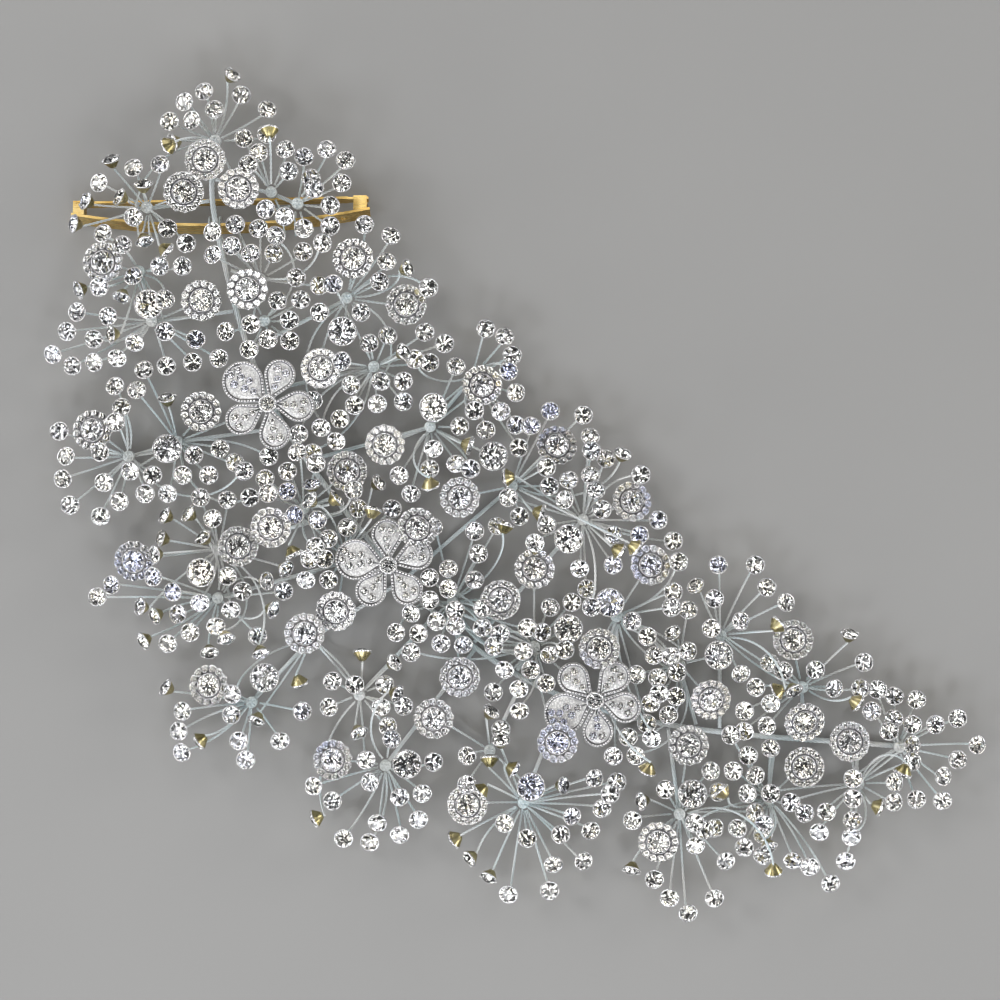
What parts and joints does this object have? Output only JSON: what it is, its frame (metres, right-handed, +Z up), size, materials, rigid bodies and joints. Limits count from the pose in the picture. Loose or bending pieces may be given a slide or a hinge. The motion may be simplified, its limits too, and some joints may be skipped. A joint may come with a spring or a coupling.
{
  "type": "rhinestone hair clip",
  "caption": "Crescent hair clip of claw-set crystals on fanned wire twigs with pave flowers and rosettes, tied to a spring barrette that opens on a hinge.",
  "frame": {"origin": "centre of the bounding box's bottom face, the plane that the clip lies on", "axes": "+X along the longest extent, from the barrette's end of the spray to its tail; +Z up, the way the stones face"},
  "size_m": [0.2512, 0.2286, 0.0261],
  "materials": {
    "silver_plate": "polished",
    "crystal": "gloss",
    "gold_plate": "satin",
    "spring_steel": "satin"
  },
  "bodies": {
    "hairpiece": {"barrette_binding_wires": "silver_plate", "barrette_hinge_pin": "gold_plate", "barrette_tension_spring": "spring_steel", "barrette_top_bar": "gold_plate", "bottom_left_cups": "silver_plate", "bottom_left_stones": "crystal", "bottom_left_twigs": "silver_plate", "centre_fan_cups": "silver_plate", "centre_fan_stones": "crystal", "centre_fan_twigs": "silver_plate", "crown_cups": "silver_plate", "crown_stones": "crystal", "crown_twigs": "silver_plate", "flower_castings": "silver_plate", "flower_centre_stones": "crystal", "flower_pave_stones": "crystal", "inner_right_cups": "silver_plate", "inner_right_stones": "crystal", "inner_right_twigs": "silver_plate", "joint_collars": "silver_plate", "left_fan_cups": "silver_plate", "left_fan_stones": "crystal", "left_fan_twigs": "silver_plate", "left_tier_cups": "silver_plate", "left_tier_stones": "crystal", "left_tier_twigs": "silver_plate", "low_middle_cups": "silver_plate", "low_middle_stones": "crystal", "low_middle_twigs": "silver_plate", "lower_left_cups": "silver_plate", "lower_left_stones": "crystal", "lower_left_twigs": "silver_plate", "middle_cups": "silver_plate", "middle_stones": "crystal", "middle_twigs": "silver_plate", "right_fan_cups": "silver_plate", "right_fan_stones": "crystal", "right_fan_twigs": "silver_plate", "right_low_cups": "silver_plate", "right_low_stones": "crystal", "right_low_twigs": "silver_plate", "right_tier_cups": "silver_plate", "right_tier_stones": "crystal", "right_tier_twigs": "silver_plate", "rosette_centre_stones": "crystal", "rosette_plates": "silver_plate", "rosette_ring_stones": "crystal", "solitaire_cups": "silver_plate", "solitaire_stones": "crystal", "spine_wire": "silver_plate", "stem_wires": "silver_plate", "tail_cups": "silver_plate", "tail_stones": "crystal", "tail_twigs": "silver_plate", "upper_right_cups": "silver_plate", "upper_right_stones": "crystal", "upper_right_twigs": "silver_plate"},
    "arm": {"barrette_arm": "gold_plate"}
  },
  "joints": [
    {"name": "arm_hinge", "type": "hinge", "parent": "hairpiece", "child": "arm", "pos_m": [-0.11717, 0.07685, 0.00418], "axis": [-0.0066, 0.342, 0.9397], "range_deg": [0, 70]}
  ]
}
